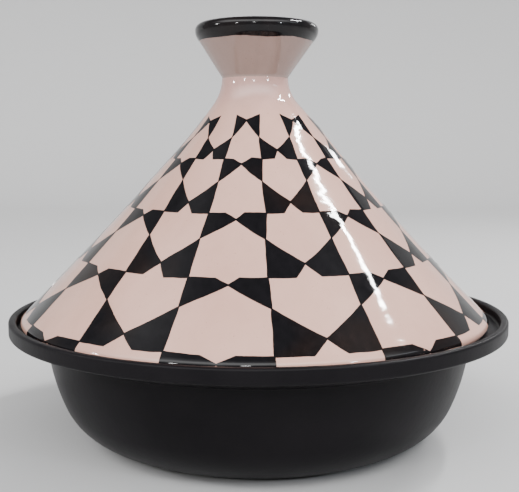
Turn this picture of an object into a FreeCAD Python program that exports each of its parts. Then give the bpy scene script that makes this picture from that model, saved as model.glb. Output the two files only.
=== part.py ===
import FreeCAD, Part
import math
import os

import Sketcher

# Tagine: a turned dish with a rim that holds a loose conical lid, and a cup-shaped
# knob luted to the lid's neck.  Millimetres, +Z up, origin at the centre of the
# foot ring's resting face.  Every piece is turned about Z.

DIMENSIONS = (
    # dish
    ("rim_radius", 150.0, "outside radius of the rim"),
    ("rim_height", 76.0, "top of the rim above the table"),
    ("rim_band_foot", 67.4, "height of the rim band's lower edge"),
    ("rim_lip", 4.5, "thickness of the upright lip"),
    ("rim_round", 1.5, "rounding of the rim's edges"),
    ("gallery_height", 70.0, "height of the ledge that carries the lid"),
    ("gallery_round", 2.5, "rounding where the ledge turns down into the dish"),
    ("belly_top_radius", 128.2, "outside radius of the belly under the rim"),
    ("belly_top_height", 60.2, "height of the belly's top under the rim"),
    ("belly_curve", 124.0, "radius of the belly's upper curve"),
    ("corner_curve", 37.1, "radius of the belly's lower curve"),
    ("floor_radius", 84.8, "radius at which the floor starts to curve up"),
    ("dish_wall", 4.5, "thickness of the dish's wall and floor"),
    ("foot_height", 1.8, "height of the foot ring"),
    ("foot_radius", 80.0, "outside radius of the foot ring"),
    ("recess_radius", 72.0, "radius of the hollow inside the foot ring"),
    ("recess_depth", 1.2, "depth of the hollow inside the foot ring"),
    # lid
    ("lid_radius", 141.0, "widest radius of the lid"),
    ("lid_edge_round", 3.7, "rounding of the lid's edge"),
    ("lid_seat_radius", 131.5, "inside radius of the lid's seating ring"),
    ("lid_curve", 1500.0, "radius of the cone's very slightly hollow side"),
    ("lid_wall", 6.5, "thickness of the cone's wall"),
    ("lid_hollow_top", 206.0, "height of the hollow's top inside the cone"),
    ("neck_radius", 20.0, "radius of the neck, where the knob is luted on"),
    ("neck_height", 217.5, "height of the neck"),
    ("neck_curve", 24.6, "radius of the curve from the cone into the neck"),
    # knob
    ("knob_radius", 37.05, "widest radius of the knob"),
    ("knob_widest", 245.2, "height of the knob's widest ring"),
    ("knob_outer_round", 8.0, "rounding under the knob's widest ring"),
    ("knob_top_round", 4.0, "rounding over the knob's widest ring"),
    ("knob_inner_round", 2.5, "rounding of the knob's lip inside the cup"),
    ("cup_floor", 227.0, "height of the floor of the knob's cup"),
    ("cup_round", 6.0, "rounding at the floor of the knob's cup"),
)
SHEET = "Dimensions"
VALUE = {alias: value for alias, value, note in DIMENSIONS}


def fill_sheet(doc):
    """The driving dimensions, one to a row: value in column A, meaning in column B."""
    sheet = doc.addObject("Spreadsheet::Sheet", SHEET)
    for row, (alias, value, note) in enumerate(DIMENSIONS, start=1):
        sheet.set("A%d" % row, str(value))
        sheet.setAlias("A%d" % row, alias)
        sheet.set("B%d" % row, note)
    return sheet


def circles_meet(centre_a, radius_a, centre_b, radius_b, side):
    """Where two circles cross; side picks the crossing left (+1) or right (-1) of a to b."""
    reach = centre_b - centre_a
    gap = reach.Length
    along = (gap ** 2 + radius_a ** 2 - radius_b ** 2) / (2 * gap)
    aside = math.sqrt(radius_a ** 2 - along ** 2)
    unit = reach / gap
    normal = FreeCAD.Vector(-unit.y, unit.x, 0)
    return centre_a + unit * along + normal * aside * side


def toward(centre, radius, target):
    """The point of a circle that lies toward a target."""
    return centre + (target - centre).normalize() * radius


def point(radius, height):
    """A point of a profile: distance from the axis, height."""
    return FreeCAD.Vector(radius, height, 0)


class Profile:
    """A closed outline in a body's XZ plane, drawn segment by segment and dimensioned
    with expressions on the sheet.  Segments are numbered from 0 in drawing order."""

    def __init__(self, body, name):
        self.sketch = body.newObject("Sketcher::SketchObject", name)
        plane = next(f for f in body.Origin.OriginFeatures if f.Role == "XZ_Plane")
        self.sketch.AttachmentSupport = [(plane, "")]
        self.sketch.MapMode = "FlatFace"
        self.ends = []
        self.count = 0

    def line(self, start, end):
        self.sketch.addGeometry(Part.LineSegment(start, end), False)
        self.ends.append((1, 2))
        return len(self.ends) - 1

    def arc(self, centre, start, end, turns_left):
        """An arc from start to end about centre, turning left (anticlockwise) or right."""
        first, last = (start, end) if turns_left else (end, start)
        begin = math.atan2(first.y - centre.y, first.x - centre.x)
        finish = math.atan2(last.y - centre.y, last.x - centre.x)
        if finish < begin:
            finish += 2 * math.pi
        circle = Part.Circle(centre, FreeCAD.Vector(0, 0, 1), (start - centre).Length)
        self.sketch.addGeometry(Part.ArcOfCircle(circle, begin, finish), False)
        self.ends.append((1, 2) if turns_left else (2, 1))
        return len(self.ends) - 1

    def close(self, smooth):
        """Join every segment to the next, tangentially after the segments in smooth."""
        total = len(self.ends)
        for here in range(total):
            after = (here + 1) % total
            kind = "Tangent" if here in smooth else "Coincident"
            self.sketch.addConstraint(
                Sketcher.Constraint(kind, here, self.ends[here][1], after, self.ends[after][0]))

    def bind(self, constraint, expression):
        """Add a dimension and drive it from the sheet."""
        index = self.sketch.addConstraint(constraint)
        self.count += 1
        name = "size%d" % self.count
        self.sketch.renameConstraint(index, name)
        self.sketch.setExpression("Constraints." + name, expression)

    def set_radius(self, segment, expression):
        value = self.sketch.Geometry[segment].Radius
        self.bind(Sketcher.Constraint("Radius", segment, value), expression)

    def spot(self, segment, which):
        """The sketcher's number for a segment's start, end or centre."""
        return 3 if which == "centre" else self.ends[segment][which == "end"]

    def set_r(self, segment, which, expression):
        """Distance of a segment's start, end or centre from the axis of revolution."""
        place = self.spot(segment, which)
        value = self.sketch.getPoint(segment, place).x
        self.bind(Sketcher.Constraint("DistanceX", -1, 1, segment, place, value), expression)

    def set_z(self, segment, which, expression):
        """Height of a segment's start, end or centre."""
        place = self.spot(segment, which)
        value = self.sketch.getPoint(segment, place).y
        self.bind(Sketcher.Constraint("DistanceY", -1, 1, segment, place, value), expression)

    def level(self, *segments):
        for segment in segments:
            self.sketch.addConstraint(Sketcher.Constraint("Horizontal", segment))

    def upright(self, *segments):
        for segment in segments:
            self.sketch.addConstraint(Sketcher.Constraint("Vertical", segment))

    def share_centre(self, segment, other):
        self.sketch.addConstraint(Sketcher.Constraint("Coincident", segment, 3, other, 3))

    def on_axis(self, segment, which):
        place = self.spot(segment, which)
        self.sketch.addConstraint(Sketcher.Constraint("PointOnObject", segment, place, -2))

    def on_table(self, segment, which):
        place = self.spot(segment, which)
        self.sketch.addConstraint(Sketcher.Constraint("PointOnObject", segment, place, -1))

    def turn(self, body, name):
        """Revolve the outline a full turn about the upright axis."""
        turned = body.newObject("PartDesign::Revolution", name)
        turned.Profile = self.sketch
        turned.ReferenceAxis = (self.sketch, ["V_Axis"])
        turned.Angle = 360
        self.sketch.Visibility = False


def new_body(doc, label):
    body = doc.addObject("PartDesign::Body", label)
    body.Label = label
    return body


def build_dish(doc):
    """The dish: foot ring, rounded belly, flared rim with a ledge and an upright lip."""
    v = VALUE
    wall = v["dish_wall"]
    rounding = v["rim_round"]
    corner = point(v["floor_radius"], v["foot_height"] + v["corner_curve"])
    belly_top = point(v["belly_top_radius"], v["belly_top_height"])
    belly = circles_meet(corner, v["belly_curve"] - v["corner_curve"],
                         belly_top, v["belly_curve"], 1)
    outer_join = toward(belly, v["belly_curve"], corner)
    inner_join = toward(belly, v["belly_curve"] - wall, corner)
    lip_inside = v["rim_radius"] - v["rim_lip"]
    nose_level = v["gallery_height"] - v["gallery_round"]
    nose_reach = v["belly_curve"] - wall + v["gallery_round"]
    nose = point(belly.x + math.sqrt(nose_reach ** 2 - (nose_level - belly.y) ** 2), nose_level)
    nose_join = toward(belly, v["belly_curve"] - wall, nose)
    floor_level = v["foot_height"] + wall
    band_foot = v["rim_band_foot"]
    under = point(v["rim_radius"] - rounding, band_foot + rounding)
    slope = (under - belly_top).normalize()
    under_join = under + FreeCAD.Vector(slope.y, -slope.x, 0) * rounding

    body = new_body(doc, "dish")
    p = Profile(body, "DishOutline")
    recess_roof = p.line(point(0, v["recess_depth"]), point(v["recess_radius"], v["recess_depth"]))
    recess_side = p.line(point(v["recess_radius"], v["recess_depth"]), point(v["recess_radius"], 0))
    foot = p.line(point(v["recess_radius"], 0), point(v["foot_radius"], 0))
    foot_side = p.line(point(v["foot_radius"], 0), point(v["foot_radius"], v["foot_height"]))
    foot_step = p.line(point(v["foot_radius"], v["foot_height"]),
                       point(v["floor_radius"], v["foot_height"]))
    outer_corner = p.arc(corner, point(v["floor_radius"], v["foot_height"]), outer_join, True)
    outer_belly = p.arc(belly, outer_join, belly_top, True)
    flare = p.line(belly_top, under_join)
    band_edge = p.arc(under, under_join, point(v["rim_radius"], under.y), True)
    band = p.line(point(v["rim_radius"], under.y), point(v["rim_radius"], v["rim_height"] - rounding))
    lip_outer = p.arc(point(v["rim_radius"] - rounding, v["rim_height"] - rounding),
                      point(v["rim_radius"], v["rim_height"] - rounding),
                      point(v["rim_radius"] - rounding, v["rim_height"]), True)
    lip_top = p.line(point(v["rim_radius"] - rounding, v["rim_height"]),
                     point(lip_inside + rounding, v["rim_height"]))
    lip_inner = p.arc(point(lip_inside + rounding, v["rim_height"] - rounding),
                      point(lip_inside + rounding, v["rim_height"]),
                      point(lip_inside, v["rim_height"] - rounding), True)
    lip_side = p.line(point(lip_inside, v["rim_height"] - rounding),
                      point(lip_inside, v["gallery_height"] + rounding))
    ledge_fillet = p.arc(point(lip_inside - rounding, v["gallery_height"] + rounding),
                         point(lip_inside, v["gallery_height"] + rounding),
                         point(lip_inside - rounding, v["gallery_height"]), False)
    ledge = p.line(point(lip_inside - rounding, v["gallery_height"]),
                   point(nose.x, v["gallery_height"]))
    ledge_nose = p.arc(nose, point(nose.x, v["gallery_height"]), nose_join, True)
    inner_belly = p.arc(belly, nose_join, inner_join, False)
    inner_corner = p.arc(corner, inner_join, point(v["floor_radius"], floor_level), False)
    floor = p.line(point(v["floor_radius"], floor_level), point(0, floor_level))
    axis = p.line(point(0, floor_level), point(0, v["recess_depth"]))

    p.close({outer_corner, flare, band_edge, band, lip_outer, lip_top, lip_inner, lip_side,
             ledge_fillet, ledge, ledge_nose, inner_belly, inner_corner})
    p.level(recess_roof, foot, foot_step, lip_top, ledge, floor)
    p.upright(recess_side, foot_side, band, lip_side)
    p.on_axis(axis, "start")
    p.on_axis(axis, "end")
    p.on_table(foot, "start")
    p.set_z(recess_roof, "start", SHEET + ".recess_depth")
    p.set_r(recess_side, "start", SHEET + ".recess_radius")
    p.set_r(foot_side, "start", SHEET + ".foot_radius")
    p.set_z(foot_side, "end", SHEET + ".foot_height")
    p.set_r(outer_corner, "start", SHEET + ".floor_radius")
    p.set_r(outer_corner, "centre", SHEET + ".floor_radius")
    p.set_radius(outer_corner, SHEET + ".corner_curve")
    p.set_radius(outer_belly, SHEET + ".belly_curve")
    p.set_r(outer_belly, "end", SHEET + ".belly_top_radius")
    p.set_z(outer_belly, "end", SHEET + ".belly_top_height")
    p.set_radius(band_edge, SHEET + ".rim_round")
    p.set_r(band_edge, "centre", SHEET + ".rim_radius - " + SHEET + ".rim_round")
    p.set_z(band_edge, "centre", SHEET + ".rim_band_foot + " + SHEET + ".rim_round")
    p.set_radius(lip_outer, SHEET + ".rim_round")
    p.set_z(lip_top, "start", SHEET + ".rim_height")
    p.set_radius(lip_inner, SHEET + ".rim_round")
    p.set_r(lip_side, "start", SHEET + ".rim_radius - " + SHEET + ".rim_lip")
    p.set_radius(ledge_fillet, SHEET + ".rim_round")
    p.set_z(ledge, "start", SHEET + ".gallery_height")
    p.set_radius(ledge_nose, SHEET + ".gallery_round")
    p.share_centre(inner_belly, outer_belly)
    p.share_centre(inner_corner, outer_corner)
    p.set_z(floor, "start", SHEET + ".foot_height + " + SHEET + ".dish_wall")
    p.turn(body, "DishTurned")
    return body


def build_lid_cone(doc):
    """The lid's cone: a flat seating ring, a long hollow-sided cone and a solid neck."""
    v = VALUE
    neck_centre = point(v["neck_radius"] + v["neck_curve"], v["neck_height"])
    edge_centre = point(v["lid_radius"] - v["lid_edge_round"],
                        v["gallery_height"] + v["lid_edge_round"])
    cone_centre = circles_meet(edge_centre, v["lid_curve"] + v["lid_edge_round"],
                               neck_centre, v["lid_curve"] - v["neck_curve"], -1)
    edge_join = toward(edge_centre, v["lid_edge_round"], cone_centre)
    neck_join = toward(cone_centre, v["lid_curve"], neck_centre)
    inner_curve = v["lid_curve"] + v["lid_wall"]
    seat_reach = cone_centre.x - v["lid_seat_radius"]
    seat_top = point(v["lid_seat_radius"],
                     cone_centre.y - math.sqrt(inner_curve ** 2 - seat_reach ** 2))
    rise = cone_centre.y - v["lid_hollow_top"]
    dome = (cone_centre.x ** 2 + rise ** 2 - inner_curve ** 2) / (2 * (inner_curve - rise))
    dome_centre = point(0, v["lid_hollow_top"] - dome)
    dome_join = toward(cone_centre, inner_curve, dome_centre)

    body = new_body(doc, "lid_cone")
    p = Profile(body, "LidConeOutline")
    seat = p.line(point(v["lid_seat_radius"], v["gallery_height"]),
                  point(edge_centre.x, v["gallery_height"]))
    edge = p.arc(edge_centre, point(edge_centre.x, v["gallery_height"]), edge_join, True)
    side = p.arc(cone_centre, edge_join, neck_join, False)
    neck = p.arc(neck_centre, neck_join, point(v["neck_radius"], v["neck_height"]), False)
    top = p.line(point(v["neck_radius"], v["neck_height"]), point(0, v["neck_height"]))
    axis = p.line(point(0, v["neck_height"]), point(0, v["lid_hollow_top"]))
    hollow_top = p.arc(dome_centre, point(0, v["lid_hollow_top"]), dome_join, False)
    inside = p.arc(cone_centre, dome_join, seat_top, True)
    seat_inside = p.line(seat_top, point(v["lid_seat_radius"], v["gallery_height"]))

    p.close({seat, edge, side, hollow_top})
    p.level(top)
    p.upright(seat_inside)
    p.on_axis(axis, "start")
    p.on_axis(axis, "end")
    p.on_axis(hollow_top, "centre")
    p.share_centre(inside, side)
    p.set_z(seat, "start", SHEET + ".gallery_height")
    p.set_z(edge, "start", SHEET + ".gallery_height")
    p.set_r(seat, "start", SHEET + ".lid_seat_radius")
    p.set_radius(edge, SHEET + ".lid_edge_round")
    p.set_r(edge, "centre", SHEET + ".lid_radius - " + SHEET + ".lid_edge_round")
    p.set_radius(side, SHEET + ".lid_curve")
    p.set_radius(neck, SHEET + ".neck_curve")
    p.set_r(neck, "end", SHEET + ".neck_radius")
    p.set_z(neck, "end", SHEET + ".neck_height")
    p.set_z(neck, "centre", SHEET + ".neck_height")
    p.set_radius(inside, SHEET + ".lid_curve + " + SHEET + ".lid_wall")
    p.set_z(hollow_top, "start", SHEET + ".lid_hollow_top")
    p.turn(body, "LidConeTurned")
    return body


def build_lid_knob(doc):
    """The knob: a small flared cup with a rolled lip, standing on the cone's neck."""
    v = VALUE
    base = point(v["neck_radius"], v["neck_height"])
    outer_centre = point(v["knob_radius"] - v["knob_outer_round"], v["knob_widest"])
    top_centre = point(v["knob_radius"] - v["knob_top_round"], v["knob_widest"])
    top_level = v["knob_widest"] + v["knob_top_round"]
    inner_centre = point(top_centre.x, top_level - v["knob_inner_round"])
    reach = outer_centre - base
    lean = math.atan2(reach.x, reach.y) + math.asin(v["knob_outer_round"] / reach.Length)
    outward = FreeCAD.Vector(math.cos(lean), -math.sin(lean), 0)
    upward = FreeCAD.Vector(math.sin(lean), math.cos(lean), 0)
    flare_top = outer_centre + outward * v["knob_outer_round"]
    cup_top = inner_centre - outward * v["knob_inner_round"]
    cup_join_level = v["cup_floor"] + (1 + outward.y) * v["cup_round"]
    cup_join = cup_top + upward * ((cup_join_level - cup_top.y) / upward.y)
    cup_centre = cup_join - outward * v["cup_round"]

    body = new_body(doc, "lid_knob")
    p = Profile(body, "LidKnobOutline")
    foot = p.line(point(0, v["neck_height"]), base)
    flare = p.line(base, flare_top)
    outer_lip = p.arc(outer_centre, flare_top, point(v["knob_radius"], v["knob_widest"]), True)
    top_lip = p.arc(top_centre, point(v["knob_radius"], v["knob_widest"]),
                    point(top_centre.x, top_level), True)
    inner_lip = p.arc(inner_centre, point(top_centre.x, top_level), cup_top, True)
    cup_side = p.line(cup_top, cup_join)
    cup_fillet = p.arc(cup_centre, cup_join, point(cup_centre.x, v["cup_floor"]), False)
    cup_floor = p.line(point(cup_centre.x, v["cup_floor"]), point(0, v["cup_floor"]))
    axis = p.line(point(0, v["cup_floor"]), point(0, v["neck_height"]))

    p.close({flare, outer_lip, top_lip, inner_lip, cup_side, cup_fillet})
    p.level(foot, cup_floor)
    p.on_axis(axis, "start")
    p.on_axis(axis, "end")
    p.sketch.addConstraint(Sketcher.Constraint("Parallel", flare, cup_side))
    p.set_z(foot, "end", SHEET + ".neck_height")
    p.set_r(foot, "end", SHEET + ".neck_radius")
    p.set_radius(outer_lip, SHEET + ".knob_outer_round")
    p.set_r(outer_lip, "end", SHEET + ".knob_radius")
    p.set_z(outer_lip, "end", SHEET + ".knob_widest")
    p.set_z(outer_lip, "centre", SHEET + ".knob_widest")
    p.set_radius(top_lip, SHEET + ".knob_top_round")
    p.set_r(top_lip, "end", SHEET + ".knob_radius - " + SHEET + ".knob_top_round")
    p.set_radius(inner_lip, SHEET + ".knob_inner_round")
    p.set_radius(cup_fillet, SHEET + ".cup_round")
    p.set_z(cup_floor, "start", SHEET + ".cup_floor")
    p.turn(body, "LidKnobTurned")
    return body


def check(doc, bodies):
    """Stop if anything in the document failed or a piece is not one valid solid."""
    for item in doc.Objects:
        bad = {"Invalid", "Error"} & set(item.State)
        if bad:
            raise RuntimeError("%s: %s" % (item.Name, ", ".join(sorted(bad))))
    for body in bodies:
        shape = body.Shape
        if shape.isNull() or not shape.isValid() or len(shape.Solids) != 1:
            raise RuntimeError("%s has no single valid solid" % body.Label)


def main():
    doc = FreeCAD.newDocument("Tagine")
    fill_sheet(doc)
    doc.recompute()
    bodies = [build_dish(doc), build_lid_cone(doc), build_lid_knob(doc)]
    for body in bodies:
        body.Placement = FreeCAD.Placement()
    doc.recompute()
    check(doc, bodies)
    os.makedirs("parts", exist_ok=True)
    for body in bodies:
        body.Shape.exportStep(os.path.join("parts", body.Label + ".step"))
        print("%-9s volume %9.0f mm3" % (body.Label, body.Shape.Volume))


main()
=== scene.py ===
import math
import random

import bpy
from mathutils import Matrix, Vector, noise
from mathutils.geometry import delaunay_2d_cdt


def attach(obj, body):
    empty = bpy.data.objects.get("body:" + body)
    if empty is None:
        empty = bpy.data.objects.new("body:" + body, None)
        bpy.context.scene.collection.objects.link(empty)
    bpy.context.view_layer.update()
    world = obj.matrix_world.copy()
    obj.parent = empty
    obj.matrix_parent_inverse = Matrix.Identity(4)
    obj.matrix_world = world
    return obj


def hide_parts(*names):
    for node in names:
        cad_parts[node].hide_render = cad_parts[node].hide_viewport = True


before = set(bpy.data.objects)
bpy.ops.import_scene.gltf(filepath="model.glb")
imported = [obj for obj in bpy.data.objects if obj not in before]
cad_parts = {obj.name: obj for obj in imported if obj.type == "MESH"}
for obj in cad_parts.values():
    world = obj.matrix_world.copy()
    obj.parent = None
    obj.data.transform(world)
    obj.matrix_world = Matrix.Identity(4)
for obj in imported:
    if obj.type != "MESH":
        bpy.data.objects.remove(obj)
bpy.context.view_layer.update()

# A tagine: black cast dish, white glazed conical lid painted with a black chequer of
# pentagons, cup-shaped knob with a black lip.  Outlines are in millimetres, in the
# frame's axes; azimuth 0 faces the camera (-Y) and grows towards +X.

noise.seed_set(11)                # noise_vector starts from the clock unless it is seeded
MM = 0.001
AROUND = 384                      # steps of every turned surface
PAINT_LIFT = 0.10                 # how far the black glaze stands proud of the white
PAINT_ROOT = 0.15                 # how far its underside lies inside the clay
CONE_CLIMB = 0.72                 # height gained per distance on the lower cone

# dish: rim, ledge, the belly's two curves, floor, foot and small edge roundings
RIM_RADIUS, RIM_HEIGHT, RIM_BAND_FOOT, RIM_LIP, RIM_ROUND = 150.0, 76.0, 67.4, 4.5, 1.5
LEDGE_HEIGHT, LEDGE_ROUND = 70.0, 2.5
BELLY_TOP, BELLY_CURVE, CORNER_CURVE = complex(128.2, 60.2), 124.0, 37.1
FLOOR_RADIUS, DISH_WALL = 84.8, 4.5
FOOT_HEIGHT, FOOT_RADIUS, RECESS_RADIUS, RECESS_DEPTH = 1.8, 80.0, 72.0, 1.2
RECESS_EDGE, FOOT_EDGE, NOTCH_EDGE = 0.4, 0.6, 0.8
# lid: seat, side curve, hollow and neck
LID_RADIUS, LID_EDGE, LID_SEAT_RADIUS, SEAT_EDGE = 141.0, 3.7, 131.5, 0.8
LID_CURVE, LID_WALL, LID_HOLLOW_TOP = 1500.0, 6.5, 206.0
NECK_RADIUS, NECK_HEIGHT, NECK_CURVE = 20.0, 217.5, 24.6
# knob: its lip is rounded under, over and inside its widest circle
KNOB_RADIUS, KNOB_WIDEST = 37.0, 245.0
KNOB_UNDER, KNOB_OVER, KNOB_INSIDE = 8.0, 4.0, 2.5
CUP_FLOOR, CUP_ROUND, CREASE_ROUND = 227.0, 6.0, 3.0
BAND_FOOT, BAND_INSIDE = 238.9, 5.0   # the black band: its lower line, and its reach into the cup
# the loose lid sits to one side, and its cone, neck and knob stray from its axis:
# pairs of a height and the sideways place there
LID_ASIDE = -2.25
WANDER = ((100.0, -2.25), (150.0, -1.5), (184.0, -0.3), (214.0, -2.05), (249.0, -1.0))


# ---------------------------------------------------------------- outlines

def circles_meet(a, radius_a, b, radius_b, side):
    """Where two circles cross, left (+1) or right (-1) of the line from a to b."""
    gap = abs(b - a)
    along = (gap ** 2 + radius_a ** 2 - radius_b ** 2) / (2 * gap)
    across = math.sqrt(radius_a ** 2 - along ** 2)
    return a + (b - a) / gap * complex(along, across * side)


def toward(centre, radius, target):
    """The point of a circle that lies towards a target."""
    return centre + (target - centre) / abs(target - centre) * radius


def arc(centre, start, end, steps):
    """Points from start to end about centre, the short way round."""
    first = start - centre
    turn = math.atan2(((end - centre) / first).imag, ((end - centre) / first).real)
    return [centre + first * complex(math.cos(turn * i / steps), math.sin(turn * i / steps))
            for i in range(steps + 1)]


def run(start, end, pace):
    """Points of a straight stretch, about pace apart."""
    steps = max(1, round(abs(end - start) / pace))
    return [start + (end - start) * i / steps for i in range(steps + 1)]


def joined(*stretches):
    """One outline from stretches that follow on, without doubled points."""
    points = []
    for stretch in stretches:
        for p in stretch:
            if not points or abs(p - points[-1]) > 0.01:
                points.append(p)
    return points


def rounded(before, corner, after, radius, steps=5):
    """A small fillet of about the given radius between two straight runs."""
    into = (before - corner) / abs(before - corner)
    out = (after - corner) / abs(after - corner)
    half = math.acos(max(-1, min(1, (into * out.conjugate()).real))) / 2
    reach = radius / math.tan(half)
    middle = (into + out) / abs(into + out)
    centre = corner + middle * (radius / math.sin(half))
    return arc(centre, corner + into * reach, corner + out * reach, steps)


def dish_outline():
    """Half-section of the dish: foot, belly, rim, lip, ledge and inside, from axis to axis."""
    inner_curve = BELLY_CURVE - DISH_WALL
    floor_level = FOOT_HEIGHT + DISH_WALL
    corner = complex(FLOOR_RADIUS, FOOT_HEIGHT + CORNER_CURVE)
    belly = circles_meet(corner, BELLY_CURVE - CORNER_CURVE, BELLY_TOP, BELLY_CURVE, 1)
    outer_join = toward(belly, BELLY_CURVE, corner)
    inner_join = toward(belly, inner_curve, corner)
    before_notch = toward(belly, BELLY_CURVE, BELLY_TOP - 2j)

    foot_in, foot_out = complex(RECESS_RADIUS, 0), complex(FOOT_RADIUS, 0)
    foot_top = complex(FOOT_RADIUS, FOOT_HEIGHT)
    recess = complex(RECESS_RADIUS, RECESS_DEPTH)

    lip_inside = RIM_RADIUS - RIM_LIP
    under = complex(RIM_RADIUS - RIM_ROUND, RIM_BAND_FOOT + RIM_ROUND)
    outer_lip = complex(RIM_RADIUS - RIM_ROUND, RIM_HEIGHT - RIM_ROUND)
    inner_lip = complex(lip_inside + RIM_ROUND, RIM_HEIGHT - RIM_ROUND)
    ledge = complex(lip_inside - RIM_ROUND, LEDGE_HEIGHT + RIM_ROUND)
    slope = (under - BELLY_TOP) / abs(under - BELLY_TOP)
    under_join = under + slope * -1j * RIM_ROUND

    nose_level = LEDGE_HEIGHT - LEDGE_ROUND
    nose_reach = inner_curve + LEDGE_ROUND
    nose = complex(belly.real + math.sqrt(nose_reach ** 2 - (nose_level - belly.imag) ** 2), nose_level)
    nose_top, nose_join = complex(nose.real, LEDGE_HEIGHT), toward(belly, inner_curve, nose)
    return joined(
        run(complex(0, RECESS_DEPTH), recess, 6),
        rounded(recess, foot_in, foot_out, RECESS_EDGE),
        rounded(foot_in, foot_out, foot_top, FOOT_EDGE),
        rounded(foot_out, foot_top, foot_top + 4, FOOT_EDGE),
        arc(corner, complex(FLOOR_RADIUS, FOOT_HEIGHT), outer_join, 30),
        arc(belly, outer_join, before_notch, 24),
        rounded(before_notch, BELLY_TOP, under_join, NOTCH_EDGE),
        run(BELLY_TOP + slope * 2, under_join, 3),
        arc(under, under_join, under + RIM_ROUND, 7),
        run(under + RIM_ROUND, outer_lip + RIM_ROUND, 1.5),
        arc(outer_lip, outer_lip + RIM_ROUND, outer_lip + RIM_ROUND * 1j, 8),
        arc(inner_lip, inner_lip + RIM_ROUND * 1j, inner_lip - RIM_ROUND, 8),
        arc(ledge, ledge + RIM_ROUND, ledge - RIM_ROUND * 1j, 6),
        run(ledge - RIM_ROUND * 1j, nose_top, 4),
        arc(nose, nose_top, nose_join, 8),
        arc(belly, nose_join, inner_join, 24),
        arc(corner, inner_join, complex(FLOOR_RADIUS, floor_level), 24),
        run(complex(FLOOR_RADIUS, floor_level), complex(0, floor_level), 6),
    )


def cone_centres():
    """Centres of the lid's edge rounding, its long side curve and its neck curve."""
    neck = complex(NECK_RADIUS + NECK_CURVE, NECK_HEIGHT)
    edge = complex(LID_RADIUS - LID_EDGE, LEDGE_HEIGHT + LID_EDGE)
    side = circles_meet(edge, LID_CURVE + LID_EDGE, neck, LID_CURVE - NECK_CURVE, -1)
    return edge, side, neck


def cone_skin():
    """The lid's visible side, from the seat's outer edge up to the neck."""
    edge, side, neck = cone_centres()
    edge_join = toward(edge, LID_EDGE, side)
    neck_join = toward(side, LID_CURVE, neck)
    return joined(
        arc(edge, complex(edge.real, LEDGE_HEIGHT), edge + LID_EDGE, 8),
        arc(edge, edge + LID_EDGE, edge_join, 5),
        arc(side, edge_join, neck_join, 150),
        arc(neck, neck_join, complex(NECK_RADIUS, NECK_HEIGHT), 20),
    )


def cone_inside():
    """The lid's hollow, from its apex down to the seat's inner edge, and the seat."""
    edge, side, _ = cone_centres()
    curve = LID_CURVE + LID_WALL
    seat_top = complex(LID_SEAT_RADIUS,
                       side.imag - math.sqrt(curve ** 2 - (side.real - LID_SEAT_RADIUS) ** 2))
    rise = side.imag - LID_HOLLOW_TOP
    dome = (side.real ** 2 + rise ** 2 - curve ** 2) / (2 * (curve - rise))
    dome_centre = complex(0, LID_HOLLOW_TOP - dome)
    dome_join = toward(side, curve, dome_centre)
    seat = complex(LID_SEAT_RADIUS, LEDGE_HEIGHT)
    return joined(
        arc(dome_centre, complex(0, LID_HOLLOW_TOP), dome_join, 10),
        arc(side, dome_join, seat_top, 60),
        run(seat_top, seat + SEAT_EDGE * 1j, 1.5),
        rounded(seat + 3j, seat, seat + 3, SEAT_EDGE),
        run(seat + 1, complex(edge.real, LEDGE_HEIGHT), 1.5),
    )


def knob_skin():
    """The knob from its crease, up the flare, over the lip and down to the cup's floor."""
    base = complex(NECK_RADIUS, NECK_HEIGHT)
    under = complex(KNOB_RADIUS - KNOB_UNDER, KNOB_WIDEST)
    over = complex(KNOB_RADIUS - KNOB_OVER, KNOB_WIDEST)
    top = over + KNOB_OVER * 1j
    inside = top - KNOB_INSIDE * 1j
    reach = under - base
    lean = math.atan2(reach.real, reach.imag) + math.asin(KNOB_UNDER / abs(reach))
    outward = complex(math.cos(lean), -math.sin(lean))
    upward = outward * 1j
    flare_top = under + outward * KNOB_UNDER
    cup_top = inside - outward * KNOB_INSIDE
    cup_join_level = CUP_FLOOR + (1 + outward.imag) * CUP_ROUND
    cup_join = cup_top + upward * ((cup_join_level - cup_top.imag) / upward.imag)
    cup_centre = cup_join - outward * CUP_ROUND
    crease = rounded(base - 3j, base, base + upward * 3, CREASE_ROUND)
    return joined(
        crease,
        run(crease[-1], flare_top, 1.4),
        arc(under, flare_top, complex(KNOB_RADIUS, KNOB_WIDEST), 8),
        arc(over, complex(KNOB_RADIUS, KNOB_WIDEST), top, 10),
        arc(inside, top, cup_top, 8),
        run(cup_top, cup_join, 1.6),
        arc(cup_centre, cup_join, complex(cup_centre.real, CUP_FLOOR), 8),
        run(complex(cup_centre.real, CUP_FLOOR), complex(0, CUP_FLOOR), 3),
    )


class Skin:
    """An outline that can be read at any distance along it."""

    def __init__(self, outline):
        self.outline = outline
        self.mile = [0.0]
        for a, b in zip(outline, outline[1:]):
            self.mile.append(self.mile[-1] + abs(b - a))
        self.length = self.mile[-1]

    def at(self, distance):
        """Point and outward normal at a distance along the outline."""
        low, high = 0, len(self.mile) - 2
        while low < high:
            middle = (low + high + 1) // 2
            if self.mile[middle] <= distance:
                low = middle
            else:
                high = middle - 1
        a, b = self.outline[low], self.outline[low + 1]
        step = (b - a) / abs(b - a)
        share = (distance - self.mile[low]) / (self.mile[low + 1] - self.mile[low])
        return a + (b - a) * share, step * -1j

    def distance_at_height(self, height):
        """Distance at which a climbing outline reaches a height; it runs on past either end."""
        for i in range(len(self.outline) - 1):
            a, b = self.outline[i], self.outline[i + 1]
            if a.imag <= height <= b.imag and b.imag > a.imag:
                climbed, rise = height - a.imag, b.imag - a.imag
                return self.mile[i] + (self.mile[i + 1] - self.mile[i]) * climbed / rise
        if height < self.outline[0].imag:
            return (height - self.outline[0].imag) / CONE_CLIMB
        return self.length + height - self.outline[-1].imag


# ---------------------------------------------------------------- surfaces

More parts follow.
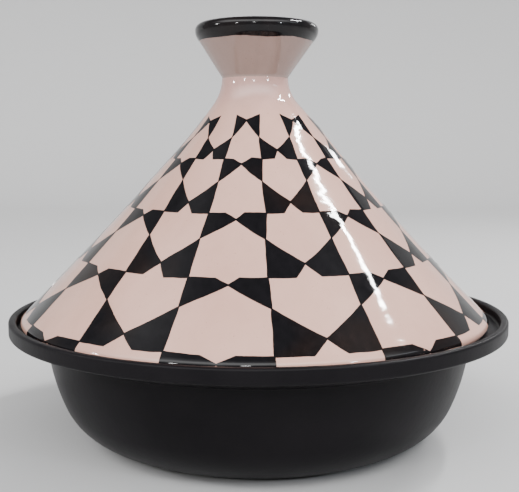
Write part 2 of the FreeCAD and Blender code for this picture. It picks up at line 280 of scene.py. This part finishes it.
def smooth(low, high, x):
    """0 below low, 1 above high, and an easy curve between."""
    x = max(0.0, min(1.0, (x - low) / (high - low)))
    return x * x * (3 - 2 * x)


def hand_thrown(azimuth, radius, height):
    """How far the wheel and the hand left the glazed skin off a true turned surface."""
    around = Vector((math.sin(azimuth), -math.cos(azimuth), 0))
    swell = noise.noise(around * 1.6 + Vector((4.1, 2.7, height / 42)))
    lump = noise.noise(around * (radius / 26) + Vector((0.3, 9.4, height / 17)))
    drift = noise.noise(around * 1.2 + Vector((7.7, 0.9, height / 30)))
    ring = math.sin(2 * math.pi * height / 8.6 + azimuth + 5 * drift)
    quiet = smooth(76, 84, height) * (1 - smooth(203, 214, height))
    return quiet * (0.26 * swell + 0.05 * lump + 0.010 * ring)


def aside(height):
    """Sideways place of the lid at a height: loose on its ledge, its cone and knob not quite true."""
    for (low, start), (high, end) in zip(WANDER, WANDER[1:]):
        if height < high:
            return start + (end - start) * smooth(low, high, height)
    return WANDER[-1][1]


def lid_place(skin, azimuth, distance, lift):
    """A point of the lid's skin in metres, lifted along its normal."""
    p, normal = skin.at(distance)
    off = hand_thrown(azimuth, p.real, p.imag) + lift
    radius, height = p.real + normal.real * off, p.imag + normal.imag * off
    return Vector((radius * math.sin(azimuth) + aside(height), -radius * math.cos(azimuth), height)) * MM


def plain_place(azimuth, p, shift=0.0):
    """A point of a true turned surface in metres, shifted sideways."""
    return Vector((p.real * math.sin(azimuth) + shift, -p.real * math.cos(azimuth), p.imag)) * MM


def mesh_object(name, verts, faces, materials, face_material=None, sharp=()):
    mesh = bpy.data.meshes.new(name)
    mesh.from_pydata(verts, [], faces)
    for material in materials:
        mesh.materials.append(material)
    mesh.polygons.foreach_set("use_smooth", [True] * len(mesh.polygons))
    if face_material:
        mesh.polygons.foreach_set("material_index", face_material)
    if sharp:
        for edge in mesh.edges:
            edge.use_edge_sharp = tuple(sorted(edge.vertices)) in sharp
    mesh.validate()
    mesh.update()
    piece = bpy.data.objects.new(name, mesh)
    bpy.context.scene.collection.objects.link(piece)
    return piece


def ring_faces(rings, count):
    """Quads between rings of `count` vertices, or a fan where a ring is one vertex."""
    faces, owner = [], []
    start = 0
    for i, (here, after) in enumerate(zip(rings, rings[1:])):
        a, b = start, start + here
        for j in range(count):
            k = (j + 1) % count
            if here == 1:
                faces.append((a, b + k, b + j))
            elif after == 1:
                faces.append((a + j, a + k, b))
            else:
                faces.append((a + j, a + k, b + k, b + j))
            owner.append(i)
        start = b
    return faces, owner


def turned(name, outline, place, materials, material_of=None):
    """A closed turned solid: the outline runs from the axis, round the outside, to the axis."""
    verts, rings = [], []
    for index, p in enumerate(outline):
        if p.real < 0.01:
            verts.append(place(index, 0.0))
            rings.append(1)
        else:
            for j in range(AROUND):
                verts.append(place(index, 2 * math.pi * j / AROUND))
            rings.append(AROUND)
    faces, owner = ring_faces(rings, AROUND)
    face_material = [material_of(i) for i in owner] if material_of else None
    return mesh_object(name, verts, faces, materials, face_material)


# ---------------------------------------------------------------- materials

def new_material(name):
    material = bpy.data.materials.new(name)
    material.use_nodes = True
    tree = material.node_tree
    shader = tree.nodes["Principled BSDF"]
    return material, tree, shader


def feed(tree, socket, value):
    """Wire an output to a socket, or set the socket where the value is a constant."""
    if hasattr(value, "is_output"):
        tree.links.new(value, socket)
    else:
        socket.default_value = value


def wired(tree, kind, inputs, **properties):
    """A node with its properties set and its inputs fed, by name or index."""
    node = tree.nodes.new(kind)
    for key, value in properties.items():
        setattr(node, key, value)
    for key, value in inputs.items():
        feed(tree, node.inputs[key], value)
    return node


def object_noise(tree, scale, detail=3.0, stretch=(1, 1, 1), roughness=0.5, distortion=0.0):
    """Procedural noise in the piece's own coordinates (metres), optionally stretched."""
    place = wired(tree, "ShaderNodeTexCoord", {}).outputs["Object"]
    mapping = wired(tree, "ShaderNodeMapping", {"Vector": place, "Scale": stretch})
    texture = wired(tree, "ShaderNodeTexNoise",
                    {"Vector": mapping.outputs["Vector"], "Scale": scale, "Detail": detail,
                     "Roughness": roughness, "Distortion": distortion})
    return texture.outputs["Fac"]


def ramp(tree, fac, stops):
    """A colour ramp; stops are pairs of a position and a colour."""
    node = wired(tree, "ShaderNodeValToRGB", {"Fac": fac})
    points = node.color_ramp.elements
    while len(points) < len(stops):
        points.new(0.5)
    for point, (where, colour) in zip(points, stops):
        point.position = where
        point.color = (*colour, 1)
    return node.outputs["Color"]


def ranged(tree, fac, low, high, out_low, out_high):
    node = wired(tree, "ShaderNodeMapRange", {"Value": fac, "From Min": low, "From Max": high,
                                              "To Min": out_low, "To Max": out_high})
    return node.outputs["Result"]


def eased(tree, value, start, end):
    node = wired(tree, "ShaderNodeMapRange", {"Value": value, "From Min": start, "From Max": end},
                 interpolation_type="SMOOTHSTEP")
    return node.outputs["Result"]


def blended(tree, kind, a, b, factor):
    """Mix two colours, each an output or a constant; a colour Mix has them as inputs 6 and 7."""
    node = wired(tree, "ShaderNodeMix", {0: factor, 6: a, 7: b}, data_type="RGBA", blend_type=kind)
    return node.outputs[2]


def bump(tree, height, strength, distance, under=None):
    """A bump of a strength and a depth in metres, over another bump where one is given."""
    node = wired(tree, "ShaderNodeBump", {"Height": height, "Strength": strength,
                                          "Distance": distance})
    if under:
        tree.links.new(under, node.inputs["Normal"])
    return node.outputs["Normal"]


def glaze_ripple(tree):
    """The faint waviness of the fired glaze, shared by the white and the black."""
    wave = object_noise(tree, 60, 2.0, (1, 1, 2.6), 0.45, 0.3)
    pitting = object_noise(tree, 420, 2.0)
    orange_peel = object_noise(tree, 230, 2.0)
    broad = bump(tree, wave, 0.055, 0.0006)
    fine = bump(tree, orange_peel, 0.10, 0.0003, broad)
    return bump(tree, pitting, 0.03, 0.0002, fine)


def white_glaze(name, thick, thin):
    """Milky glaze over clay, with painted shade: from 0.19 m up, over the neck and the knob, its colour
    is darkened and greyed.
    """
    material, tree, shader = new_material(name)
    cloud = object_noise(tree, 22, 4.0)
    warm = ramp(tree, cloud, [(0.30, thin), (0.72, thick)])
    streak = object_noise(tree, 90, 3.0, (1, 1, 0.18), 0.6)
    shade = ramp(tree, streak, [(0.35, (0.965, 0.960, 0.955)), (0.65, (1, 1, 1))])
    tinted = blended(tree, "MULTIPLY", warm, shade, 1.0)
    place = wired(tree, "ShaderNodeTexCoord", {}).outputs["Object"]
    height = wired(tree, "ShaderNodeSeparateXYZ", {"Vector": place}).outputs["Z"]
    # painted shade: the colour turns darker and blue-grey from 0.19 m up, over the neck and the knob
    neck_painted_shade = eased(tree, height, 0.190, 0.212)
    tinted = blended(tree, "MULTIPLY", tinted, (0.80, 0.80, 0.86, 1), neck_painted_shade)
    speck = object_noise(tree, 900, 1.0)
    fleck = ramp(tree, speck, [(0.235, (0.42, 0.33, 0.27)), (0.265, (1, 1, 1))])
    tree.links.new(blended(tree, "MULTIPLY", tinted, fleck, 0.35), shader.inputs["Base Color"])
    tree.links.new(ranged(tree, cloud, 0.3, 0.7, 0.04, 0.07), shader.inputs["Roughness"])
    shader.inputs["IOR"].default_value = 1.5
    tree.links.new(glaze_ripple(tree), shader.inputs["Normal"])
    return material


def black_glaze(name, gloss):
    """Hand-brushed black: brownish where it is thin, with brush strokes in its gloss."""
    material, tree, shader = new_material(name)
    thin = object_noise(tree, 19, 2.0, (1, 1, 1.2), 0.5, 0.2)
    tone = ramp(tree, thin, [(0.54, (0.0060, 0.0056, 0.0066)), (0.72, (0.0125, 0.0072, 0.0060))])
    brush = object_noise(tree, 240, 4.0, (1, 1, 0.16), 0.65)
    stroke = ramp(tree, brush, [(0.35, (0.70, 0.70, 0.70)), (0.70, (1.3, 1.27, 1.25))])
    tree.links.new(blended(tree, "MULTIPLY", tone, stroke, 0.8), shader.inputs["Base Color"])
    tree.links.new(ranged(tree, brush, 0.3, 0.7, gloss, gloss + 0.03), shader.inputs["Roughness"])
    shader.inputs["IOR"].default_value = 1.34
    tree.links.new(bump(tree, brush, 0.04, 0.0003, glaze_ripple(tree)), shader.inputs["Normal"])
    return material


def bare_clay():
    """The unglazed seat of the lid."""
    material, tree, shader = new_material("bare_clay")
    grain = object_noise(tree, 700, 5.0)
    tone = ramp(tree, grain, [(0.3, (0.36, 0.25, 0.18)), (0.7, (0.50, 0.37, 0.28))])
    tree.links.new(tone, shader.inputs["Base Color"])
    shader.inputs["Roughness"].default_value = 0.88
    tree.links.new(bump(tree, grain, 0.35, 0.0003), shader.inputs["Normal"])
    return material


def black_enamel():
    """Satin black enamel over sand-cast iron."""
    material, tree, shader = new_material("black_enamel")
    cloud = object_noise(tree, 30, 4.0)
    tone = ramp(tree, cloud, [(0.3, (0.0046, 0.0040, 0.0050)), (0.7, (0.0072, 0.0062, 0.0074))])
    tree.links.new(tone, shader.inputs["Base Color"])
    tree.links.new(ranged(tree, cloud, 0.3, 0.7, 0.36, 0.46), shader.inputs["Roughness"])
    shader.inputs["Specular IOR Level"].default_value = 0.10
    cast = object_noise(tree, 260, 4.0, (1, 1, 1), 0.6)
    sand = object_noise(tree, 1300, 2.0)
    tree.links.new(bump(tree, sand, 0.10, 0.0002, bump(tree, cast, 0.16, 0.0005)),
                   shader.inputs["Normal"])
    return material


# ---------------------------------------------------------------- painted pattern

COLUMNS = 16
FIRST_MERIDIAN = 4.1                                  # degrees
STRAY = (0.0, 0.1, 0.7, -0.5, 0.6, -0.3, 0.2, -0.7, 0.5, 0.1, -0.4, 0.6, 0.9, 1.5, 1.1, 0.1)
ROWS = (193.7, 169.2, 141.2, 110.8, 78.6, 40.0)       # heights of the row lines
SHOULDERS = (181.3, 157.6, 128.6, 97.8, 64.0)         # where the white houses' eaves are
UP_APEX, DOWN_APEX = 0.105, 0.19                      # share of a row left beyond an apex
UP_TABS = (1.0, 0.50, 0.33, 0.32, 0.31)               # where a shape's flat ends, out from the
DOWN_TAB = 0.33                                       # column's middle (1: it has no flat)
HAND_SLIP = 0.35                                      # how far off the crossings are drawn
PATTERN_FOOT = 72.6                                   # height at which the pattern is cut off
BRUSH = 0.42                                          # how far the brush runs over a drawn line
STROKE_STEP = 1.3                                     # pace along the edge of a brushed shape
SLOW_SIZE, SLOW_SHIFT = 9.0, 0.34                     # long and short wavering of the brush
QUICK_SIZE, QUICK_SHIFT = 2.6, 0.10
FILM_ACROSS, FILM_ALONG = 2.6, 1.6                    # spacing of the points inside the film
LEAST_RADIUS = 20.0                                   # sideways straying is turned as if from here
FLAT = 100.0                                          # radius at which the flat chart is true
FULL_TURN = 2 * math.pi * FLAT


def meridian(index):
    """Azimuth of a column's left edge, in radians."""
    return math.radians(FIRST_MERIDIAN + 360 / COLUMNS * index + STRAY[index % COLUMNS])


class Drawing:
    """The pencilled lattice: every crossing is placed once, a little off by hand."""

    def __init__(self, skin):
        self.skin = skin
        self.hand = random.Random(11)
        self.slips = {}

    def spot(self, key, azimuth, height):
        """A crossing's azimuth and height; a key that comes back has the same slip of the hand."""
        radius = max(self.skin.at(self.skin.distance_at_height(height))[0].real, LEAST_RADIUS)
        if key not in self.slips:
            across, along = self.hand.gauss(0, HAND_SLIP), self.hand.gauss(0, HAND_SLIP)
            self.slips[key] = (across / radius, along * 0.7)
        turn, climb = self.slips[key]
        lean = (aside(height) - LID_ASIDE) * math.cos(azimuth)
        return azimuth + turn - lean / radius, height + climb

    def flat(self, azimuth, height):
        """Place on the flat chart: azimuth times FLAT, distance along the skin."""
        return Vector((azimuth * FLAT, self.skin.distance_at_height(height)))

    def shapes(self):
        """The black shapes, each as its corners on the flat chart, running anticlockwise."""
        out = []
        for column in range(COLUMNS):
            left, right = meridian(column), meridian(column + 1)
            middle, half = (left + right) / 2, (right - left) / 2
            for row in range(len(ROWS) - 1):
                top, foot, eave = ROWS[row], ROWS[row + 1], SHOULDERS[row]
                tall = top - foot
                if column % 2:
                    apex = self.spot(("up", column, row), middle, top - UP_APEX * tall)
                    tab, level, line = UP_TABS[row], top, row
                else:
                    apex = self.spot(("down", column, row), middle, foot + DOWN_APEX * tall)
                    tab, level, line = DOWN_TAB, foot, row + 1
                for side, edge in ((-1, column), (1, column + 1)):
                    node = edge % COLUMNS
                    at = left if side < 0 else right
                    corner = self.spot(("line", node, line), at, level)
                    eaves = self.spot(("eave", node, row), at, eave)
                    points = [corner, apex, eaves]
                    if tab < 1:
                        points.insert(1, self.spot(("tab", column, row, side),
                                                   middle + side * tab * half, level))
                    chart = [self.flat(*p) for p in points]
                    area = sum(a.x * b.y - b.x * a.y for a, b in zip(chart, chart[1:] + chart[:1]))
                    out.append(chart if area > 0 else chart[::-1])
        return out


def spread(corners, skin, by):
    """Move a convex shape's edges outward by a distance that is true on the lid."""
    out = []
    count = len(corners)
    for i, here in enumerate(corners):
        radius = skin.at(min(max(here.y, 0), skin.length))[0].real
        true = Vector((radius / FLAT, 1))
        before = (here - corners[i - 1]) * true
        after = (corners[(i + 1) % count] - here) * true
        n1 = Vector((before.y, -before.x)).normalized()
        n2 = Vector((after.y, -after.x)).normalized()
        miter = (n1 + n2) / max(0.45, 1 + n1.dot(n2))
        out.append(here + Vector((miter.x * by / true.x, miter.y * by)))
    return out


def brushed(corners, skin):
    """Sample a shape's edges closely and let them wander as a brush does."""
    out = []
    count = len(corners)
    for i, here in enumerate(corners):
        after = corners[(i + 1) % count]
        steps = max(2, round((after - here).length / STROKE_STEP))
        for k in range(steps):
            p = here.lerp(after, k / steps)
            azimuth, distance = p.x / FLAT, p.y
            place, _ = skin.at(min(max(distance, 0), skin.length))
            key = Vector((place.real * math.sin(azimuth), -place.real * math.cos(azimuth), place.imag))
            slow = noise.noise_vector(key / SLOW_SIZE)
            quick = noise.noise_vector(key / QUICK_SIZE + Vector((5, 5, 5)))
            shift = slow * SLOW_SHIFT + quick * QUICK_SHIFT
            out.append(Vector((p.x + shift.x * FLAT / max(place.real, LEAST_RADIUS), p.y + shift.y)))
    return out


def paint_film(name, skin, material):
    """The black glaze of the pattern: one thin closed film laid on the lid's skin."""
    seam = (meridian(7) + meridian(8)) / 2 * FLAT
    start = seam - FULL_TURN
    lowest = skin.distance_at_height(PATTERN_FOOT)
    points, rims = [], []
    for corners in Drawing(skin).shapes():
        outline = brushed(spread(corners, skin, BRUSH), skin)
        for shift in (-FULL_TURN, 0, FULL_TURN):
            moved = [Vector((p.x + shift, p.y)) for p in outline]
            xs, ys = [p.x for p in moved], [p.y for p in moved]
            if max(xs) > start and min(xs) < seam and max(ys) > lowest:
                rims.append(list(range(len(points), len(points) + len(moved))))
                points.extend(moved)
    distance = lowest
    top = skin.distance_at_height(ROWS[0]) + 3
    while distance < top:
        steps = max(40, round(2 * math.pi * skin.at(distance)[0].real / FILM_ACROSS))
        points += [Vector((start + FULL_TURN * (k + 0.5) / steps, distance + FILM_ALONG / 2))
                   for k in range(steps)]
        distance += FILM_ALONG
    corner = len(points)
    points += [Vector((start, lowest)), Vector((seam, lowest)),
               Vector((seam, top + 4)), Vector((start, top + 4))]
    edges = [(corner + i, corner + (i + 1) % 4) for i in range(4)]
    flat, _, triangles, _, _, source = delaunay_2d_cdt(points, edges, rims, 0, 1e-5)

    def inside(triangle):
        x = sum(flat[i].x for i in triangle) / 3
        y = sum(flat[i].y for i in triangle) / 3
        return start < x < seam and y > lowest

    kept = [tuple(t) for t, faces in zip(triangles, source) if faces and inside(t)]
    return closed_film(name, skin, flat, kept, seam, material)


def closed_film(name, skin, flat, triangles, seam, material):
    """Lift a flat triangulation onto the lid as a closed film with sharp side walls."""
    number, where = {}, []

    def vertex(index):
        """Number of a chart point; the two sides of the seam are one."""
        p = flat[index]
        x = p.x - FULL_TURN if p.x > seam - 1e-3 else p.x
        key = (round(x, 3), round(p.y, 3))
        if key not in number:
            number[key] = len(where)
            where.append((x / FLAT, p.y))
        return number[key]

    top = [tuple(vertex(i) for i in t) for t in triangles]
    top = [t for t in top if len(set(t)) == 3]
    count = len(where)
    verts = [lid_place(skin, azimuth, distance, PAINT_LIFT) for azimuth, distance in where]
    verts += [lid_place(skin, azimuth, distance, -PAINT_ROOT) for azimuth, distance in where]
    faces = list(top) + [(c + count, b + count, a + count) for a, b, c in top]
    used = {edge: True for a, b, c in top for edge in ((a, b), (b, c), (c, a))}
    sharp = set()
    for a, b in used:
        if (b, a) not in used:
            faces.append((b, a, a + count, b + count))
            sharp.add(tuple(sorted((a, b))))
            sharp.add(tuple(sorted((a + count, b + count))))
    return mesh_object(name, verts, faces, [material], sharp=sharp)


# ---------------------------------------------------------------- pieces

def build_dish(enamel):
    outline = dish_outline()
    return turned("dish_cast", outline, lambda i, azimuth: plain_place(azimuth, outline[i]), [enamel])


def build_cone(glaze, clay):
    """The hollow cone, and its outside as a Skin; the seat is bare clay."""
    inside, outside = cone_inside(), cone_skin()
    skin = Skin(outside)
    outline = inside[:-1] + outside + [complex(0, NECK_HEIGHT)]
    first = len(inside) - 1

    def place(index, azimuth):
        if index < first or index == len(outline) - 1:
            return plain_place(azimuth, outline[index], aside(outline[index].imag))
        return lid_place(skin, azimuth, skin.mile[index - first], 0.0)

    def bare(index):
        return 1 if outline[index].imag < LEDGE_HEIGHT + 0.9 and index <= first + 3 else 0

    return turned("lid_cone_glazed", outline, place, [glaze, clay], bare), skin


def build_knob(glaze):
    """The knob, and its outside as a Skin; its underside lies just inside the neck."""
    outside = knob_skin()
    skin = Skin(outside)
    foot = complex(outside[0].real - 0.6, outside[0].imag - 1.0)
    outline = [complex(0, foot.imag), foot] + outside

    def place(index, azimuth):
        if index < 2:
            return plain_place(azimuth, outline[index], aside(outline[index].imag))
        return lid_place(skin, azimuth, skin.mile[index - 2], 0.0)

    return turned("lid_knob_glazed", outline, place, [glaze]), skin


def build_knob_band(skin, material):
    """The black lip: a closed film from a hand-drawn line under the lip to inside the cup."""
    steps, count = 46, AROUND
    lip_top = max(range(len(skin.outline)), key=lambda i: skin.outline[i].imag)
    end = skin.mile[lip_top] + KNOB_INSIDE + BAND_INSIDE
    verts = []
    for lift in (PAINT_LIFT, -PAINT_ROOT):
        for i in range(steps + 1):
            for j in range(count):
                azimuth = 2 * math.pi * j / count
                around = Vector((math.sin(azimuth), -math.cos(azimuth), 0.0))
                line = BAND_FOOT - 0.7 * math.cos(azimuth) + 0.8 * noise.noise(around * 1.7)
                line += 0.16 * noise.noise(around * 9)
                begin = skin.distance_at_height(line)
                finish = end + 1.2 * noise.noise(around * 2.2 + Vector((3, 1, 2)))
                share = i / steps
                verts.append(lid_place(skin, azimuth, begin + (finish - begin) * share, lift))
    faces, sharp = [], set()
    under = (steps + 1) * count
    for i in range(steps):
        for j in range(count):
            k = (j + 1) % count
            a, b, c, d = i * count + j, i * count + k, (i + 1) * count + k, (i + 1) * count + j
            faces.append((a, b, c, d))
            faces.append((d + under, c + under, b + under, a + under))
    for j in range(count):
        k = (j + 1) % count
        last = steps * count
        faces.append((k, j, j + under, k + under))
        faces.append((last + j, last + k, last + k + under, last + j + under))
        for edge in ((j, k), (last + j, last + k)):
            sharp.add(tuple(sorted(edge)))
            sharp.add(tuple(sorted((edge[0] + under, edge[1] + under))))
    return mesh_object("knob_band", verts, faces, [material], sharp=sharp)


glaze = white_glaze("white_glaze", (0.675, 0.412, 0.335), (0.615, 0.364, 0.292))
# painted shade: the knob wears the white glaze made darker throughout, for the shade on its down-turned
# flare
knob_glaze_painted_shade = white_glaze("knob_glaze_painted_shade", (0.440, 0.308, 0.248), (0.395, 0.275, 0.220))
dish = build_dish(black_enamel())
cone, cone_surface = build_cone(glaze, bare_clay())
knob, knob_surface = build_knob(knob_glaze_painted_shade)
pattern = paint_film("lid_pattern", cone_surface, black_glaze("black_glaze", 0.02))
band = build_knob_band(knob_surface, black_glaze("black_lip_glaze", 0.08))

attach(dish, "dish")
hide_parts("dish")
for piece in (cone, knob, pattern, band):
    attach(piece, "lid")
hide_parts("lid_cone")
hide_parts("lid_knob")


# ---------------------------------------------------------------- stage, in metres

FLOOR_FRONT, FLOOR_BACK, FLOOR_HALF, FLOOR_RISE, FLOOR_BEND = -5.0, 3.2, 6.0, 3.0, 1.2
GLOW_AZIMUTH = -4.0
LIGHT_AIM = Vector((0, 0, 0.14))
CAMERA_PLACE, CAMERA_PITCH, CAMERA_LENS, CAMERA_SHIFT = (0, -0.5356, 0.175), 0.1114, 60.5, 0.002


def build_floor():
    """A pale sweep: flat floor that curves up behind the pot."""
    flat_end = FLOOR_BACK - FLOOR_BEND
    line = [(FLOOR_FRONT, 0.0), (flat_end, 0.0)]
    for i in range(1, 17):
        angle = math.pi / 2 * i / 16
        line.append((flat_end + FLOOR_BEND * math.sin(angle), FLOOR_BEND - FLOOR_BEND * math.cos(angle)))
    line.append((FLOOR_BACK, FLOOR_RISE))
    verts = [(x, y, z) for y, z in line for x in (-FLOOR_HALF, FLOOR_HALF)]
    faces = [(2 * i, 2 * i + 1, 2 * i + 3, 2 * i + 2) for i in range(len(line) - 1)]
    material, _, shader = new_material("pale_floor")
    shader.inputs["Base Color"].default_value = (0.52, 0.52, 0.52, 1)
    shader.inputs["Roughness"].default_value = 0.9
    shader.inputs["Specular IOR Level"].default_value = 0.1
    return mesh_object("floor", verts, faces, [material])


def softbox(name, azimuth, elevation, distance, width, height, radiance, roll=0.0, tint=(1, 1, 1)):
    """A rectangular light that faces the pot from an azimuth and elevation, rolled about its aim."""
    light = bpy.data.lights.new(name, "AREA")
    light.shape = "RECTANGLE"
    light.size, light.size_y = width, height
    light.energy = radiance * math.pi * width * height
    light.color = tint
    lamp = bpy.data.objects.new(name, light)
    bpy.context.scene.collection.objects.link(lamp)
    a, e = math.radians(azimuth), math.radians(elevation)
    out = Vector((math.sin(a) * math.cos(e), -math.cos(a) * math.cos(e), math.sin(e)))
    lamp.location = LIGHT_AIM + out * distance
    lamp.rotation_euler = out.to_track_quat("Z", "Y").to_euler()
    lamp.rotation_euler.rotate_axis("Z", math.radians(roll))


def multiplied(tree, a, b):
    return wired(tree, "ShaderNodeMath", {0: a, 1: b}, operation="MULTIPLY").outputs["Value"]


def build_world(glow):
    """A dim room with one broad soft glow: a band high in front."""
    world = bpy.data.worlds.new("studio")
    world.use_nodes = True
    tree = world.node_tree
    way = wired(tree, "ShaderNodeTexCoord", {}).outputs["Generated"]
    height = wired(tree, "ShaderNodeSeparateXYZ", {"Vector": way}).outputs["Z"]
    room = ramp(tree, height, [(0.0, (0.42, 0.42, 0.43)), (0.30, (0.34, 0.34, 0.35)),
                               (0.62, (0.18, 0.18, 0.19)), (1.0, (0.16, 0.16, 0.17))])
    azimuth = math.radians(GLOW_AZIMUTH)
    front = wired(tree, "ShaderNodeVectorMath", {0: way, 1: (math.sin(azimuth), -math.cos(azimuth), 0)},
                  operation="DOT_PRODUCT").outputs["Value"]
    band = multiplied(tree, eased(tree, height, 0.35, 0.72), eased(tree, height, 0.965, 0.72))
    band = multiplied(tree, multiplied(tree, band, eased(tree, front, -0.25, 0.60)), glow)
    light = wired(tree, "ShaderNodeCombineColor",
                  {"Red": band, "Green": band, "Blue": band}).outputs["Color"]
    background = tree.nodes["Background"]
    tree.links.new(blended(tree, "ADD", room, light, 1.0), background.inputs["Color"])
    background.inputs["Strength"].default_value = 1.0
    bpy.context.scene.world = world


def build_camera():
    data = bpy.data.cameras.new("view")
    data.sensor_width = 36
    data.lens = CAMERA_LENS
    data.shift_x = CAMERA_SHIFT
    data.clip_start = 0.01
    camera = bpy.data.objects.new("view", data)
    bpy.context.scene.collection.objects.link(camera)
    camera.location = CAMERA_PLACE
    camera.rotation_euler = (math.pi / 2 - CAMERA_PITCH, 0, 0)
    bpy.context.scene.camera = camera


build_floor()
build_world(6.3)
softbox("window_foot", 103.4, 46.8, 1.6, 0.050, 0.140, 240, roll=-40)
softbox("window_head", 104.4, 52.2, 1.6, 0.040, 0.19, 240, roll=15)
softbox("window_top", 114.2, 51.4, 1.6, 0.034, 0.50, 240, roll=53)
softbox("doorway", 142.6, 24.8, 1.6, 0.06, 0.26, 45, roll=45)
softbox("shelf_lamp", 76, 29, 1.8, 0.50, 0.12, 5, tint=(0.85, 0.92, 1))
softbox("lamp_left", -78, 19, 1.8, 0.11, 0.11, 150)
softbox("lamp_side", -36, 17, 1.8, 0.08, 0.11, 150)
softbox("lamp_front", -4, 21, 1.8, 0.11, 0.11, 130)
softbox("lamp_right", 45, 19, 1.8, 0.11, 0.11, 150, tint=(0.85, 0.92, 1))
build_camera()
